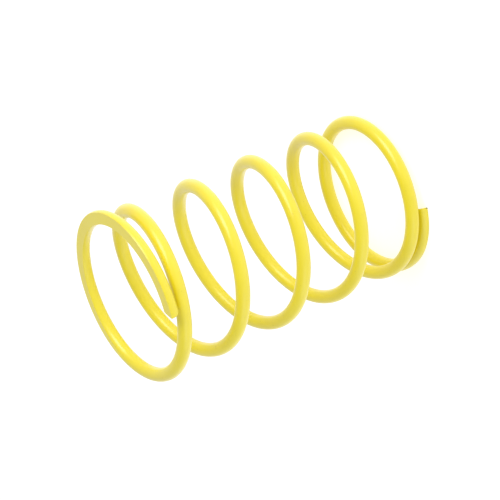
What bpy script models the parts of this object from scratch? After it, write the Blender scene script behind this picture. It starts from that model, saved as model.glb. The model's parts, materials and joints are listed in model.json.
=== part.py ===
"""A left-hand compression spring of round wire, standing on one end.

The spring is one wire. It is built as a chain of stretches of that wire: an end coil at each
end, closed against its neighbour and ground flat, and between them short stretches of the
active coils. Each stretch slides a little along the axis on the one below it, so the chain
closes up the way the coils of the real spring do.
"""

import math

import bmesh
import bpy

# ------------------------------------------------------- driving dimensions, in metres
WIRE_DIAMETER = 0.0040
COIL_RADIUS = 0.0227                    # from the coil's axis to the middle of the wire
TURNS = 5.984                           # of the whole wire, from tip to tip
PITCH = 0.02049                         # rise per turn of the active coils

# The wire stays level for part of a turn at each tip, then its rise grows to the full pitch.
LEVEL_TURNS_BOTTOM = 0.318
LEVEL_TURNS_TOP = 0.196
RAMP_TURNS = 1.30

# The lower tip is bent down a little, clear of its neighbour.
TIP_BEND = 0.00132
TIP_BEND_TURNS = 0.35

# The upper tip springs out a little from its neighbour, and the last turn eases back in.
TOP_TIP_ANGLE = math.radians(250.8)     # round the axis, from +X
TOP_FLARE = 0.065 * COIL_RADIUS
FLARE_TURNS = 1.15

# The seat faces: how deep each tip is ground.
GRIND_BOTTOM = 0.46 * WIRE_DIAMETER
GRIND_TOP = 0.25 * WIRE_DIAMETER

# The tips are cut at a slant, longest on the outside of the coil and on their upper side. Both
# are lengths along the wire to a length across it.
SLANT_OUT = 0.36
SLANT_UP = 0.22
SLANT_TURNS = 0.04                      # how far along the wire the slant is spread

# ------------------------------------------------------- the chain of stretches
END_TURNS = 1.25                        # the part of the wire that each end coil takes
LINKS = 24                              # slides from one end coil to the other
CUT_GAP = 0.0003                        # between neighbouring stretches
RINGS_PER_TURN = 50
SIDES = 14                              # corners of the wire's cross-section

YELLOW = (0.81, 0.69, 0.05, 1.0)

# ------------------------------------------------------- worked out from the above
WIRE_RADIUS = WIRE_DIAMETER / 2
ACTIVE_TURNS = TURNS - 2 * END_TURNS
LINK_TURNS = ACTIVE_TURNS / LINKS
STATIONS = 6000                         # for adding up the rise along the wire


def smooth(x):
    """0 below 0, 1 above 1, and an even curve between."""
    x = min(max(x, 0.0), 1.0)
    return x * x * (3 - 2 * x)


def rise_per_turn(turn):
    """At so many turns from the lower tip."""
    growing = smooth((turn - LEVEL_TURNS_BOTTOM) / RAMP_TURNS)
    fading = smooth((TURNS - turn - LEVEL_TURNS_TOP) / RAMP_TURNS)
    bend = min(turn / TIP_BEND_TURNS, 1.0)
    return PITCH * growing * fading + TIP_BEND / TIP_BEND_TURNS * 6 * bend * (1 - bend)


def add_up_rise():
    """Height of the wire's middle over the lower tip's middle, at even stations."""
    step = TURNS / STATIONS
    heights = [0.0]
    for i in range(STATIONS):
        heights.append(heights[-1] + step * rise_per_turn((i + 0.5) * step))
    return heights


RISE = add_up_rise()
LOWER_TIP_HEIGHT = WIRE_RADIUS - GRIND_BOTTOM
FREE_LENGTH = LOWER_TIP_HEIGHT + RISE[-1] + WIRE_RADIUS - GRIND_TOP


def wire_middle(turn):
    """Angle, radius and height of the wire's middle, so many turns from the lower tip."""
    place = turn / TURNS * STATIONS
    i = min(max(int(place), 0), STATIONS - 1)
    height = LOWER_TIP_HEIGHT + RISE[i] + (place - i) * (RISE[i + 1] - RISE[i])
    to_top = TURNS - turn
    radius = COIL_RADIUS + TOP_FLARE * (1 - smooth(to_top / FLARE_TURNS))
    return TOP_TIP_ANGLE + 2 * math.pi * to_top, radius, height


def slanted(turn, around):
    """Where along the wire a corner goes, so that the tips end in a slanting cut."""
    upper = turn > TURNS / 2
    to_tip = TURNS - turn if upper else turn
    side = 1 if upper else -1
    longer = SLANT_OUT * math.cos(around) + SLANT_UP * math.sin(around)
    near_tip = max(0.0, 1 - to_tip / SLANT_TURNS)
    return turn + side * near_tip * longer * WIRE_RADIUS / (2 * math.pi * COIL_RADIUS)


def wire_section(turn):
    """Corners of the wire's cross-section, each in its own plane through the coil's axis.

    The wire leans by its rise, so the section is a little taller than it is wide. Corners
    past a seat face are laid on it.
    """
    corners = []
    for k in range(SIDES):
        around = 2 * math.pi * (k + 0.5) / SIDES
        place = slanted(turn, around)
        angle, radius, height = wire_middle(place)
        lean = math.atan2(rise_per_turn(place), 2 * math.pi * radius)
        tall = WIRE_RADIUS / math.cos(lean)
        out = radius + WIRE_RADIUS * math.cos(around)
        up = height + tall * math.sin(around)
        up = min(max(up, 0.0), FREE_LENGTH)
        corners.append((out * math.cos(angle), out * math.sin(angle), up))
    return corners


def wire_stretch(name, first_turn, last_turn, material):
    """One closed length of the wire. The cuts between stretches are square."""
    rings = max(2, math.ceil((last_turn - first_turn) * RINGS_PER_TURN))
    mesh = bmesh.new()
    sections = [
        [mesh.verts.new(c) for c in wire_section(first_turn + (last_turn - first_turn) * i / rings)]
        for i in range(rings + 1)
    ]
    for low, high in zip(sections, sections[1:]):
        for k in range(SIDES):
            after = (k + 1) % SIDES
            mesh.faces.new((low[k], high[k], high[after], low[after]))
    mesh.faces.new(sections[0])
    mesh.faces.new(reversed(sections[-1]))
    bmesh.ops.recalc_face_normals(mesh, faces=mesh.faces)
    data = bpy.data.meshes.new(name)
    mesh.to_mesh(data)
    mesh.free()
    data.shade_smooth()
    data.set_sharp_from_angle(angle=math.radians(40))
    data.materials.append(material)
    piece = bpy.data.objects.new(name, data)
    bpy.context.scene.collection.objects.link(piece)
    return piece


def coating():
    """Glossy yellow coating over the steel."""
    material = bpy.data.materials.new("yellow_coating")
    material.use_nodes = True
    shader = material.node_tree.nodes["Principled BSDF"]
    shader.inputs["Base Color"].default_value = YELLOW
    shader.inputs["Roughness"].default_value = 0.38
    shader.inputs["Metallic"].default_value = 0.0
    return material


def cut_half_gap(turn):
    """Half the cut between two stretches, in turns."""
    return CUT_GAP / 2 / (2 * math.pi * wire_middle(turn)[1])


def build():
    for old in list(bpy.data.objects):
        bpy.data.objects.remove(old)
    yellow = coating()
    cuts = [END_TURNS + (i + 0.5) * LINK_TURNS for i in range(LINKS)]
    names = (
        ["lower_end_coil"]
        + [f"active_coil_section_{i:02d}" for i in range(1, LINKS)]
        + ["upper_end_coil"]
    )
    starts = [0.0] + [turn + cut_half_gap(turn) for turn in cuts]
    ends = [turn - cut_half_gap(turn) for turn in cuts] + [TURNS]
    for name, start, end in zip(names, starts, ends):
        wire_stretch(name, start, end, yellow)


build()
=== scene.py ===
"""Looks for a left-hand coil spring of round yellow-coated wire, standing on its lower end.

Every piece here is a length of the same wire. The end coils ride on the two end bodies, and
each stretch between them, with a short lead at either end, is drawn in place and not tied to
a body. Lengths are in metres.
"""

import json
import math

import bpy
from mathutils import Matrix, Vector

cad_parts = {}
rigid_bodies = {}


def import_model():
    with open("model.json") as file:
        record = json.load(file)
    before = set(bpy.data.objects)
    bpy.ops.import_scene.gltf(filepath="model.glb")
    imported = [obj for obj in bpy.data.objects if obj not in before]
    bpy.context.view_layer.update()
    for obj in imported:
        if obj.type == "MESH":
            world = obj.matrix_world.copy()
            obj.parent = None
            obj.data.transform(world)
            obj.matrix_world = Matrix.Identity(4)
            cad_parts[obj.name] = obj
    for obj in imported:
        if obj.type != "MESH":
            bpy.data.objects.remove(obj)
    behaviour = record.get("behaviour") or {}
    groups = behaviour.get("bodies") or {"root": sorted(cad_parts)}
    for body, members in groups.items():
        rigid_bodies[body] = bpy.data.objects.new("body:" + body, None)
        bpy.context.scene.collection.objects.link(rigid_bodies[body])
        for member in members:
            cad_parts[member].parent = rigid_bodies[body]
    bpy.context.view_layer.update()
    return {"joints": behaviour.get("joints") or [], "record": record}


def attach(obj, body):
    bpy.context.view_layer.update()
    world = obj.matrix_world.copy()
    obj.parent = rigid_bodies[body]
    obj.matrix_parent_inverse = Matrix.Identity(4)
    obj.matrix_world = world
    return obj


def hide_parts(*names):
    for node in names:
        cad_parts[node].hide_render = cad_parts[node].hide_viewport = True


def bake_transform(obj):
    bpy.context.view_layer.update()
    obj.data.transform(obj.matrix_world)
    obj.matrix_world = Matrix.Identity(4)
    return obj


# ------------------------------------------------------- the wire, as the frame has it
WIRE_DIAMETER = 0.0040
COIL_RADIUS = 0.0227                    # from the coil's axis to the middle of the wire
TURNS = 5.984
PITCH = 0.02049
LEVEL_TURNS_BOTTOM = 0.318
LEVEL_TURNS_TOP = 0.196
RAMP_TURNS = 1.30
TIP_BEND = 0.00132                      # the lower tip, down and clear of its neighbour
TIP_BEND_TURNS = 0.35
TOP_TIP_ANGLE = math.radians(250.8)
TOP_FLARE = 0.065 * COIL_RADIUS
FLARE_TURNS = 1.15
GRIND_BOTTOM = 0.46 * WIRE_DIAMETER
GRIND_TOP = 0.25 * WIRE_DIAMETER
SLANT_OUT = 0.36                        # the tips' slanting cuts, by length along to across
SLANT_UP = 0.22
SLANT_TURNS = 0.04                      # how far along the wire the slant is spread
END_TURNS = 1.25                        # of the wire that moves with each end coil

# ------------------------------------------------------- how a stretch is cut into leads and a run
LEAD_SHARE = 0.10                       # of a stretch, at each end, given to its lead
LEAD_WAY = 0.5 - math.sin(math.asin(1 - 2 * LEAD_SHARE) / 3)    # where smooth() is LEAD_SHARE
LEAD_CLEAR = 0.055                      # of a blend, before it and clear of the end ring

# ------------------------------------------------------- how finely it is drawn
RINGS_PER_TURN = 180
LEAST_STEPS = 6                         # from ring to ring, in any piece of wire
SIDES = 56
TIP_ROUNDING = 0.00022                  # on the edge of each cut tip
TIP_STEPS = 5
CAP_RINGS = 6
CAP_REACH = 0.97                        # of the wire's radius, drawn in by the last cap ring
SEAT_TOUCH = 1e-7                       # this near a seat's height counts as on it
STATIONS = 6000                         # where the wire's height is added up

WIRE_RADIUS = WIRE_DIAMETER / 2


def smooth(x):
    """0 below 0, 1 above 1, and an even curve between."""
    x = min(max(x, 0.0), 1.0)
    return x * x * (3 - 2 * x)


def rise_per_turn(turn):
    """At so many turns from the lower tip."""
    growing = smooth((turn - LEVEL_TURNS_BOTTOM) / RAMP_TURNS)
    fading = smooth((TURNS - turn - LEVEL_TURNS_TOP) / RAMP_TURNS)
    bend = min(turn / TIP_BEND_TURNS, 1.0)
    bell = 6 * bend * (1 - bend)        # adds up to 1 over the bend
    return PITCH * growing * fading + TIP_BEND / TIP_BEND_TURNS * bell


def add_up_rise():
    """Height of the wire's middle over the lower tip's middle, at even stations."""
    step = TURNS / STATIONS
    heights = [0.0]
    for i in range(STATIONS):
        heights.append(heights[-1] + step * rise_per_turn((i + 0.5) * step))
    return heights


RISE = add_up_rise()
LOWER_TIP_HEIGHT = WIRE_RADIUS - GRIND_BOTTOM
UPPER_TIP_HEIGHT = LOWER_TIP_HEIGHT + RISE[-1]
FREE_LENGTH = UPPER_TIP_HEIGHT + WIRE_RADIUS - GRIND_TOP


def wire_middle(turn):
    """Angle, radius and height of the wire's middle, so many turns from the lower tip."""
    place = turn / TURNS * STATIONS
    i = min(max(int(place), 0), STATIONS - 1)
    height = LOWER_TIP_HEIGHT + RISE[i] + (place - i) * (RISE[i + 1] - RISE[i])
    to_top = TURNS - turn
    radius = COIL_RADIUS + TOP_FLARE * (1 - smooth(to_top / FLARE_TURNS))
    return TOP_TIP_ANGLE + 2 * math.pi * to_top, radius, height


def wire_axes(turn):
    """Middle of the wire, and its directions out from the coil's axis, along and across."""
    angle, radius, height = wire_middle(turn)
    out = Vector((math.cos(angle), math.sin(angle), 0))
    level = Vector((math.sin(angle), -math.cos(angle), 0))     # the way the wire climbs
    lean = math.atan2(rise_per_turn(turn), 2 * math.pi * radius)
    along = level * math.cos(lean) + Vector((0, 0, math.sin(lean)))
    across = Vector((0, 0, math.cos(lean))) - level * math.sin(lean)
    return radius * out + Vector((0, 0, height)), out, along, across, lean


def seat_edges(height, tall):
    """Where round the section a seat face begins, as (angle, seat height), or nothing."""
    for seat, side in ((0.0, -1), (FREE_LENGTH, 1)):
        reach = (seat - height) * side
        if reach < tall:
            return side * math.asin(reach / tall), seat
    return None


def around_angles(edge):
    """Angles round the wire's section, with the nearest ones moved onto a seat's edges."""
    step = 2 * math.pi / SIDES
    angles = [k * step - math.pi for k in range(SIDES)]
    if edge:
        start = edge[0]
        for corner in (start, math.copysign(math.pi, start) - start):
            nearest = min(range(SIDES), key=lambda k: abs(angles[k] - corner))
            angles[nearest] = corner
    return angles


def slanted(turn, around):
    """Where along the wire a corner goes, so that the tips end in a slanting cut."""
    upper = turn > TURNS / 2
    to_tip = TURNS - turn if upper else turn
    side = 1 if upper else -1
    longer = SLANT_OUT * math.cos(around) + SLANT_UP * math.sin(around)
    near_tip = max(0.0, 1 - to_tip / SLANT_TURNS)
    return turn + side * near_tip * longer * WIRE_RADIUS / (2 * math.pi * COIL_RADIUS)


def wire_ring(turn):
    """Corners of one cross-section: (place, normal, lies on a seat face)."""
    middle, _, _, _, lean = wire_axes(turn)
    edge = seat_edges(middle.z, WIRE_RADIUS / math.cos(lean))
    ring = []
    for around in around_angles(edge):
        middle, out, _, across, lean = wire_axes(slanted(turn, around))
        tall = WIRE_RADIUS / math.cos(lean)
        place = middle + out * WIRE_RADIUS * math.cos(around)
        place.z += tall * math.sin(around)
        seated = False
        if edge:
            seat = edge[1]
            past = place.z - seat if seat > 0 else seat - place.z
            seated = past > -SEAT_TOUCH
            if seated:
                place.z = seat
        ring.append((place, out * math.cos(around) + across * math.sin(around), seated))
    return ring


def shrunk(ring, by, push, facing, amount):
    """A ring drawn in evenly by a length and moved along, its normals turned to face the end."""
    centre = sum((place for place, _, _ in ring), Vector()) / len(ring)
    drawn = []
    for place, normal, seated in ring:
        arm = place - centre
        moved = centre + arm * max(0.0, 1 - by / WIRE_RADIUS) + push
        turned = normal * math.cos(amount) + facing * math.sin(amount)
        drawn.append((moved, turned.normalized(), False))
    return drawn


def tip_rings(turn, side):
    """Rings of a tip, from the rounding of its edge to the middle of its slanting face."""
    ring = wire_ring(turn)
    _, out, along, _, _ = wire_axes(turn)
    along = along * side
    facing = along - out * SLANT_OUT - Vector((0, 0, SLANT_UP))
    facing.normalize()
    rings = []
    for step in range(1, TIP_STEPS + 1):
        bend = math.pi / 2 * step / TIP_STEPS
        by = TIP_ROUNDING * (1 - math.cos(bend))
        push = along * TIP_ROUNDING * math.sin(bend)
        rings.append(shrunk(ring, by, push, facing, bend))
    for step in range(1, CAP_RINGS + 1):
        by = TIP_ROUNDING + (WIRE_RADIUS * CAP_REACH - TIP_ROUNDING) * step / CAP_RINGS
        rings.append(shrunk(ring, by, along * TIP_ROUNDING, facing, math.pi / 2))
    return rings


def wire_rings(first, last):
    """Every ring of a length of wire, with its tips if it has them."""
    count = max(LEAST_STEPS, math.ceil((last - first) * RINGS_PER_TURN))
    rounding = TIP_ROUNDING / (2 * math.pi * COIL_RADIUS)
    low = first + (rounding if first <= 0 else 0)
    high = last - (rounding if last >= TURNS else 0)
    rings = [wire_ring(low + (high - low) * i / count) for i in range(count + 1)]
    if first <= 0:
        rings = tip_rings(low, -1)[::-1] + rings
    if last >= TURNS:
        rings = rings + tip_rings(high, 1)
    return rings


def wire_length(name, first, last, material):
    """A length of the wire as a mesh, with true normals so that neighbours join unseen."""
    rings = wire_rings(first, last)
    corners = [place for ring in rings for place, _, _ in ring]
    faces, normals = [], []
    for r in range(len(rings) - 1):
        for k in range(SIDES):
            after = (k + 1) % SIDES
            quad = [(r, k), (r, after), (r + 1, after), (r + 1, k)]
            faces.append([i * SIDES + j for i, j in quad])
            seated = all(rings[i][j][2] for i, j in quad)
            up = Vector((0, 0, 1 if rings[r][k][0].z > FREE_LENGTH / 2 else -1))
            normals += [up if seated else rings[i][j][1] for i, j in quad]
    for r, turned in ((0, False), (len(rings) - 1, True)):
        if (r == 0 and first <= 0) or (r > 0 and last >= TURNS):
            cap = list(range(SIDES))[:: 1 if turned else -1]
            faces.append([r * SIDES + k for k in cap])
            normals += [rings[r][k][1] for k in cap]
    mesh = bpy.data.meshes.new(name)
    mesh.from_pydata(corners, [], faces)
    mesh.shade_smooth()
    mesh.normals_split_custom_set(normals)
    mesh.materials.append(material)
    piece = bpy.data.objects.new(name, mesh)
    bpy.context.scene.collection.objects.link(piece)
    return piece


def blend_line(first, last, facing, low, high):
    """Start and end points that put a blend's low and high at two turns of the wire.

    They lie along the wire's level direction at the facing turn.
    """
    way = wire_axes(facing)[2].copy()
    way.z = 0
    way.normalize()
    near, far = (wire_axes(turn)[0].dot(way) for turn in (first, last))
    whole = (far - near) / (high - low)
    start = way * (near - low * whole)
    return start, start + way * whole


def lead_facing(lead_turns):
    """How many turns past its lead a blend faces, so that both blends agree round their ring."""
    swing = 2 * math.pi * lead_turns
    inward = 0.5 - LEAD_WAY
    reach = LEAD_WAY + LEAD_CLEAR + inward * (1 - math.cos(swing))
    return math.atan(inward * math.sin(swing) / reach) / (2 * math.pi)


def stretch_pieces(first, last):
    """A stretch's lead-in, run and lead-out: (word, from, to, facing, low, high).

    The leads cover the slow start and finish of a blend's low to high range, and the long run
    between them its even middle.
    """
    lead = (last - first) * LEAD_SHARE
    past = lead + lead_facing(lead)
    return (
        ("_lead_in", first, first + lead, first + past, -LEAD_CLEAR, LEAD_WAY),
        ("", first + lead, last - lead, (first + last) / 2, LEAD_WAY, 1 - LEAD_WAY),
        ("_lead_out", last - lead, last, last - past, 1 - LEAD_WAY, 1 + LEAD_CLEAR),
    )


def place_wire(material):
    """The whole wire: an end coil on each end body, and a stretch in three pieces for every
    slide.
    """
    joints = frame["joints"]
    bodies = [joints[0]["parent"]] + [j["child"] for j in joints]
    nodes = frame["record"]["behaviour"]["bodies"]
    link_turns = (TURNS - 2 * END_TURNS) / len(joints)
    cuts = [END_TURNS + i * link_turns for i in range(len(joints) + 1)]

    lower = wire_length("lower_end_coil_wire", 0, cuts[0], material)
    upper = wire_length("upper_end_coil_wire", cuts[-1], TURNS, material)
    for piece, body in ((lower, bodies[0]), (upper, bodies[-1])):
        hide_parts(*nodes[body])
        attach(piece, body)

    for i in range(len(joints)):
        for word, first, last, facing, low, high in stretch_pieces(*cuts[i:i + 2]):
            stretch = wire_length(f"coil_stretch_{i + 1:02d}{word}", first, last, material)
            start, end = blend_line(first, last, facing, low, high)
            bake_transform(stretch)
            # the last body's node is the upper end coil's, which has its own piece
            if not word and i + 1 < len(joints):
                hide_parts(*nodes[bodies[i + 1]])


# ------------------------------------------------------- the coating
DEEPER_YELLOW = (0.782, 0.655, 0.009, 1)
PALER_YELLOW = (0.812, 0.690, 0.013, 1)
SPECK_COLOUR = (0.42, 0.30, 0.03, 1)
# dark olive spot at the lower tip's outer corner
TIP_CORNER_DARK = (0.09, 0.085, 0.045, 1)
SPECK_STRENGTH = 0.35
TIP_CORNER_DARKENING = 0.85
TIP_DARK_RADIUS = 0.00035                   # darkest as far as this from the corner
TIP_DARK_EDGE = 0.00060                     # and plain yellow from here on
TIP_DARK_RAGGEDNESS = 0.00015
SATIN = (0.34, 0.44)                    # least and most roughness
COAT_WEIGHT = 0.85
COAT_ROUGHNESS = 0.28
PAINT_IOR = 1.5
PEEL_HEIGHT = 0.00004
GRIT_HEIGHT = 0.00002

# noise, in cells to a metre
CLOUD_SCALE = 60
SATIN_SCALE = 240
PEEL_SCALE = 900
SPECK_SCALE = 1500
TIP_DARK_SCALE = 2500
GRIT_SCALE = 3200


class Nodes:
    """Short ways to add and join shader nodes."""

    def __init__(self, name):
        self.material = bpy.data.materials.new(name)
        self.material.use_nodes = True
        self.tree = self.material.node_tree
        self.shader = self.tree.nodes["Principled BSDF"]

    def add(self, kind, inputs=None, **settings):
        """A node with its settings, and its inputs linked or set."""
        node = self.tree.nodes.new(kind)
        for key, value in settings.items():
            setattr(node, key, value)
        for key, value in (inputs or {}).items():
            if isinstance(value, bpy.types.NodeSocket):
                self.tree.links.new(value, node.inputs[key])
            else:
                node.inputs[key].default_value = value
        return node

    def noise(self, scale, detail=2.0, roughness=0.5):
        """Noise over the wire's surface, with so many cells to a metre."""
        place = self.add("ShaderNodeTexCoord").outputs["Object"]
        inputs = {"Vector": place, "Scale": scale, "Detail": detail, "Roughness": roughness}
        return self.add("ShaderNodeTexNoise", inputs).outputs["Fac"]

    def spread(self, value, low, high, to_low, to_high):
        """Value's low..high range stretched over to_low..to_high, and held there."""
        inputs = {"Value": value, "From Min": low, "From Max": high,
                  "To Min": to_low, "To Max": to_high}
        return self.add("ShaderNodeMapRange", inputs).outputs["Result"]

    def mix(self, amount, first, second):
        """First colour where amount is 0, and second where it is 1."""
        node = self.add("ShaderNodeMix", data_type="RGBA")
        for socket, value in ((0, amount), (6, first), (7, second)):
            if isinstance(value, bpy.types.NodeSocket):
                self.tree.links.new(value, node.inputs[socket])
            else:
                node.inputs[socket].default_value = value
        return node.outputs[2]

    def bump(self, height, strength, distance, under=None):
        """A normal pushed about by height, on top of another bump if there is one."""
        inputs = {"Height": height, "Strength": strength, "Distance": distance}
        if under:
            inputs["Normal"] = under
        return self.add("ShaderNodeBump", inputs).outputs["Normal"]


def darkened_corner():
    """The sharp outer corner of the lower tip, at its seat face."""
    middle, out = wire_axes(slanted(0, 0))[:2]
    return middle + out * WIRE_RADIUS


def yellow_coating():
    """Baked yellow powder coat: even, satin, with a fine orange-peel, a few specks and a dark
    spot at the lower tip's outer corner.
    """
    n = Nodes("yellow_coating")
    cloud = n.spread(n.noise(CLOUD_SCALE, 3), 0.35, 0.65, 0, 1)
    colour = n.mix(cloud, DEEPER_YELLOW, PALER_YELLOW)
    specks = n.spread(n.noise(SPECK_SCALE, 1), 0.74, 0.78, 0, SPECK_STRENGTH)
    colour = n.mix(specks, colour, SPECK_COLOUR)

    place = n.add("ShaderNodeTexCoord").outputs["Object"]
    far = n.add("ShaderNodeVectorMath", {0: place, 1: darkened_corner()}, operation="DISTANCE")
    ragged = n.spread(n.noise(TIP_DARK_SCALE, 2), 0.3, 0.7, -TIP_DARK_RAGGEDNESS, TIP_DARK_RAGGEDNESS)
    far = n.add("ShaderNodeMath", {0: far.outputs["Value"], 1: ragged}, operation="ADD")
    # the dark spot at the lower tip's outer corner, with a ragged edge
    corner_dark = n.spread(far.outputs[0], TIP_DARK_RADIUS, TIP_DARK_EDGE, TIP_CORNER_DARKENING, 0)
    colour = n.mix(corner_dark, colour, TIP_CORNER_DARK)
    n.tree.links.new(colour, n.shader.inputs["Base Color"])

    rough = n.spread(n.noise(SATIN_SCALE, 4), 0.3, 0.7, *SATIN)
    n.tree.links.new(rough, n.shader.inputs["Roughness"])
    peel = n.bump(n.noise(PEEL_SCALE, 2), 0.25, PEEL_HEIGHT)
    grit = n.bump(n.noise(GRIT_SCALE, 2), 0.12, GRIT_HEIGHT, peel)
    n.tree.links.new(grit, n.shader.inputs["Normal"])
    n.shader.inputs["Coat Weight"].default_value = COAT_WEIGHT
    n.shader.inputs["Coat Roughness"].default_value = COAT_ROUGHNESS
    n.shader.inputs["IOR"].default_value = PAINT_IOR
    return n.material


# ------------------------------------------------------- the studio
AIM_BELOW_TIP = 0.04267
AIM = Vector((0, 0, UPPER_TIP_HEIGHT - AIM_BELOW_TIP))  # on the coil's axis, half way along
CAMERA_DISTANCE = 0.4846
CAMERA_ELEVATION = math.radians(27.78)
CAMERA_ROLL = math.radians(-113.35)     # the spring's axis runs across the picture
LENS = 122.16
SHIFT = (-0.0085, -0.0104)
CLIP_START = 0.01
CLIP_END = 20
WALL_LIGHT = 0.82
CEILING_LIGHT = 0.62
SOFTBOX_DISTANCE = 0.8
FLOOR_HALF_WIDTH = 6.0
FLOOR_COLOUR = (0.62, 0.62, 0.62, 1)
FLOOR_GLOW_COLOUR = (0.97, 0.97, 1, 1)
FLOOR_GLOW = 0.62                       # lit from below, like a light table
FLOOR_ROUGHNESS = 0.9


def outward(azimuth, elevation):
    """Unit vector from the object at an azimuth from +X and an elevation, in degrees."""
    a, e = math.radians(azimuth), math.radians(elevation)
    return Vector((math.cos(a) * math.cos(e), math.sin(a) * math.cos(e), math.sin(e)))


def add_camera():
    """Looks along +Y and down, rolled so that the spring lies across the picture."""
    data = bpy.data.cameras.new("camera")
    data.lens = LENS
    data.shift_x, data.shift_y = SHIFT
    data.clip_start, data.clip_end = CLIP_START, CLIP_END
    camera = bpy.data.objects.new("camera", data)
    bpy.context.scene.collection.objects.link(camera)
    back = Vector((0, -math.cos(CAMERA_ELEVATION), math.sin(CAMERA_ELEVATION)))
    turn = back.to_track_quat("Z", "Y").to_matrix() @ Matrix.Rotation(CAMERA_ROLL, 3, "Z")
    camera.matrix_world = Matrix.Translation(AIM + back * CAMERA_DISTANCE) @ turn.to_4x4()
    bpy.context.scene.camera = camera


def add_softbox(name, azimuth, elevation, width, watts, colour):
    """A square light that faces the middle of the spring."""
    data = bpy.data.lights.new(name, "AREA")
    data.shape = "RECTANGLE"
    data.size, data.size_y = width, width
    data.energy = watts
    data.color = colour
    light = bpy.data.objects.new(name, data)
    bpy.context.scene.collection.objects.link(light)
    way = outward(azimuth, elevation)
    turn = way.to_track_quat("Z", "Y").to_matrix().to_4x4()
    light.matrix_world = Matrix.Translation(AIM + way * SOFTBOX_DISTANCE) @ turn


def add_floor():
    """A plain white table top under the lower end."""
    n = Nodes("studio_floor")
    n.shader.inputs["Base Color"].default_value = FLOOR_COLOUR
    n.shader.inputs["Emission Color"].default_value = FLOOR_GLOW_COLOUR
    n.shader.inputs["Emission Strength"].default_value = FLOOR_GLOW
    n.shader.inputs["Roughness"].default_value = FLOOR_ROUGHNESS
    n.shader.inputs["Specular IOR Level"].default_value = 0.0
    half = FLOOR_HALF_WIDTH
    mesh = bpy.data.meshes.new("studio_floor")
    corners = [(-half, -half, 0), (half, -half, 0), (half, half, 0), (-half, half, 0)]
    mesh.from_pydata(corners, [], [(0, 1, 2, 3)])
    mesh.materials.append(n.material)
    floor = bpy.data.objects.new("studio_floor", mesh)
    bpy.context.scene.collection.objects.link(floor)


def light_the_world(tree):
    """White all round, and dimmer overhead than at the walls."""
    way = tree.nodes.new("ShaderNodeTexCoord").outputs["Generated"]
    split = tree.nodes.new("ShaderNodeSeparateXYZ")
    tree.links.new(way, split.inputs[0])
    fall = tree.nodes.new("ShaderNodeMapRange")
    fall.interpolation_type = "SMOOTHSTEP"
    fall.inputs["To Min"].default_value = WALL_LIGHT
    fall.inputs["To Max"].default_value = CEILING_LIGHT
    tree.links.new(split.outputs["Z"], fall.inputs["Value"])
    tree.nodes["Background"].inputs["Color"].default_value = (1, 1, 1, 1)
    tree.links.new(fall.outputs["Result"], tree.nodes["Background"].inputs["Strength"])


def add_studio():
    """Camera, floor, two soft lights and a white room."""
    add_camera()
    add_floor()
    add_softbox("key_softbox", -35, 30, 0.45, 3.2, (1.0, 0.96, 0.93))
    add_softbox("fill_softbox", 205, 15, 0.60, 1.1, (0.93, 1.0, 0.90))
    world = bpy.context.scene.world or bpy.data.worlds.new("studio")
    bpy.context.scene.world = world
    world.use_nodes = True
    light_the_world(world.node_tree)
    bpy.context.scene.view_settings.view_transform = "Standard"


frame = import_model()
add_studio()
place_wire(yellow_coating())
